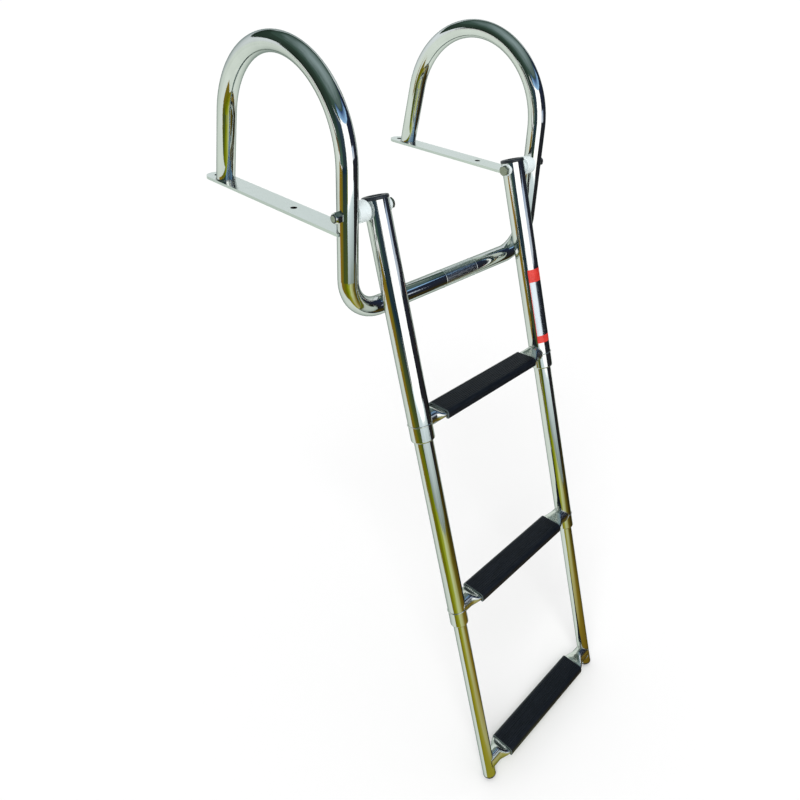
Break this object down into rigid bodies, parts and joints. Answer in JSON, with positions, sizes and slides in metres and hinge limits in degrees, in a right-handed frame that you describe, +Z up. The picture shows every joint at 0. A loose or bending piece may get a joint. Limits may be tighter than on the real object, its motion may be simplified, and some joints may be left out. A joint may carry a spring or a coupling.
{
  "type": "telescoping boat boarding ladder with twin handrails",
  "caption": "Fold-over telescoping boarding ladder: arched handrails on deck plates, sliding stainless rails, flattened rungs with black clip-on treads.",
  "frame": {"origin": "on the underside of the left deck plate, at the centre of its front screw hole, where the plate lies on the deck", "axes": "+Z up, +Y inboard along the deck plates, +X from the left handrail to the right one"},
  "size_m": [0.3966, 0.5712, 1.0059],
  "materials": {
    "handrail_steel": "mirror-polished stainless tube",
    "rail_steel": "mirror-polished stainless tube",
    "rung_steel": "polished stainless tube, pinched flat",
    "collar_steel": "polished stainless end collar",
    "plate_steel": "satin stainless flat bar",
    "fastener_steel": "plain stainless hardware",
    "white_nylon": "white moulded nylon",
    "bush_nylon": "white moulded nylon",
    "black_plastic": "black moulded plastic",
    "tread_plastic": "black extruded plastic, finely grooved"
  },
  "bodies": {
    "root": {"handrail_tube_left": "handrail_steel", "handrail_tube_right": "handrail_steel", "deck_plate_left": "plate_steel", "deck_plate_right": "plate_steel", "pivot_bolt_left": "fastener_steel", "pivot_bolt_right": "fastener_steel", "pivot_nut_left": "fastener_steel", "pivot_nut_right": "fastener_steel", "pivot_spacer_left": "white_nylon", "pivot_spacer_right": "white_nylon", "crossbar_sleeve": "handrail_steel"},
    "upper_section": {"upper_rail_left": "rail_steel", "upper_rail_right": "rail_steel", "rail_cap_left": "black_plastic", "rail_cap_right": "black_plastic", "saddle_washer_left": "white_nylon", "saddle_washer_right": "white_nylon", "upper_collar_left": "collar_steel", "upper_collar_right": "collar_steel", "upper_rung": "rung_steel", "upper_tread": "tread_plastic"},
    "middle_section": {"middle_rail_left": "rail_steel", "middle_rail_right": "rail_steel", "middle_collar_left": "collar_steel", "middle_collar_right": "collar_steel", "middle_bush_left": "bush_nylon", "middle_bush_right": "bush_nylon", "middle_rung": "rung_steel", "middle_tread": "tread_plastic"},
    "lower_section": {"lower_rail_left": "rail_steel", "lower_rail_right": "rail_steel", "lower_bush_left": "bush_nylon", "lower_bush_right": "bush_nylon", "foot_plug_left": "black_plastic", "foot_plug_right": "black_plastic", "lower_rung": "rung_steel", "lower_tread": "tread_plastic"}
  },
  "joints": [
    {"name": "ladder_swing", "type": "hinge", "parent": "root", "child": "upper_section", "pos_m": [0.177, -0.103, 0.0233], "axis": [-1, 0, 0], "range_deg": [-5.19, 252]},
    {"name": "middle_slide", "type": "slide", "parent": "upper_section", "child": "middle_section", "axis": [0, 0.3074, 0.9516], "range_m": [0, 0.2397]},
    {"name": "lower_slide", "type": "slide", "parent": "middle_section", "child": "lower_section", "axis": [0, 0.3074, 0.9516], "range_m": [0, 0.2299]}
  ]
}
